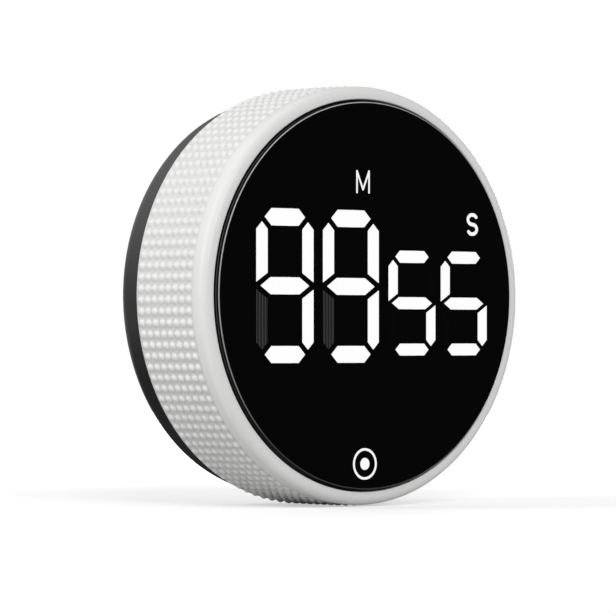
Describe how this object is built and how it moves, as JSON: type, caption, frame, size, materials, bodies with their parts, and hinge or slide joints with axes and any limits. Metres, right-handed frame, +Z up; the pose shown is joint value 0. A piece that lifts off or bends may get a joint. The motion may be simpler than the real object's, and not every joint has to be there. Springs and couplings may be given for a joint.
{
  "type": "digital kitchen timer",
  "caption": "Round digital kitchen timer: a grip dial ring turns to set the time, the black display panel presses to start, and a magnetic back holds it on a steel door.",
  "frame": {"origin": "centre of the flat back face", "axes": "+Z up the display, +X to the right of the display as it is read, +Y from the display to the back"},
  "size_m": [0.078, 0.028, 0.078],
  "materials": {
    "white_ring": "satin",
    "black_shell": "satin",
    "black_lens": "polished",
    "segment_lit": "polished",
    "segment_dark": "polished",
    "segment_hidden": "polished",
    "mark_white": "polished",
    "chassis_plastic": "matte",
    "cell_wrap": "gloss",
    "spring_steel": "bright",
    "contact_nickel": "bright",
    "magnet_nickel": "plated",
    "screw_steel": "plated",
    "board_green": "satin",
    "chip_black": "matte",
    "component_tan": "matte",
    "led_resin": "gloss",
    "reflector_white": "matte",
    "switch_grey": "matte",
    "switch_steel": "plated",
    "plunger_red": "satin",
    "gear_acetal": "satin",
    "knob_grey": "satin"
  },
  "bodies": {
    "case": {"back_shell": "black_shell", "chassis": "chassis_plastic", "cell_left": "cell_wrap", "cell_middle": "cell_wrap", "cell_right": "cell_wrap", "contact_springs": "spring_steel", "contact_plates": "contact_nickel", "magnets": "magnet_nickel", "case_screws": "screw_steel", "main_board": "board_green", "board_screws": "screw_steel", "controller_chip": "chip_black", "small_components": "component_tan", "buzzer": "chip_black", "segment_leds": "led_resin", "display_reflector": "reflector_white", "tact_switch": "switch_grey", "encoder_body": "switch_grey", "slide_switch": "switch_steel"},
    "dial": {"dial_ring": "white_ring"},
    "encoder": {"encoder_pinion": "gear_acetal"},
    "panel": {"panel_carrier": "chassis_plastic", "front_lens": "black_lens", "minute_segments_lit": "segment_lit", "minute_segments_dark": "segment_dark", "second_segments_lit": "segment_lit", "second_segments_dark": "segment_hidden", "unit_letters": "mark_white", "start_mark": "mark_white"},
    "plunger": {"tact_plunger": "plunger_red"},
    "volume": {"volume_knob": "knob_grey"},
    "door": {"battery_door": "black_shell"}
  },
  "joints": [
    {"name": "dial_turn", "type": "hinge", "parent": "case", "child": "dial", "pos_m": [0, -0.0175, 0], "axis": [0, 1, 0], "continuous": true},
    {"name": "encoder_spin", "type": "hinge", "parent": "case", "child": "encoder", "pos_m": [0.0288, -0.0085, 0], "axis": [0, 1, 0], "continuous": true},
    {"name": "panel_press", "type": "hinge", "parent": "case", "child": "panel", "pos_m": [0, -0.023, 0.031], "axis": [1, 0, 0], "range_deg": [0, 0.3], "stiffness_Nm_per_rad": 12},
    {"name": "switch_press", "type": "slide", "parent": "case", "child": "plunger", "axis": [0, 1, 0], "range_m": [0, 0.00032]},
    {"name": "volume_slide", "type": "slide", "parent": "case", "child": "volume", "axis": [1, 0, 0], "range_m": [-0.002, 0.002]},
    {"name": "door_open", "type": "hinge", "parent": "case", "child": "door", "pos_m": [0, -0.0013, 0.0259], "axis": [1, 0, 0], "range_deg": [0, 85]}
  ],
  "couplings": [
    {"joint": "encoder_spin", "follows": "dial_turn", "ratio": 7},
    {"joint": "switch_press", "follows": "panel_press", "m_per_rad": 0.0605}
  ]
}
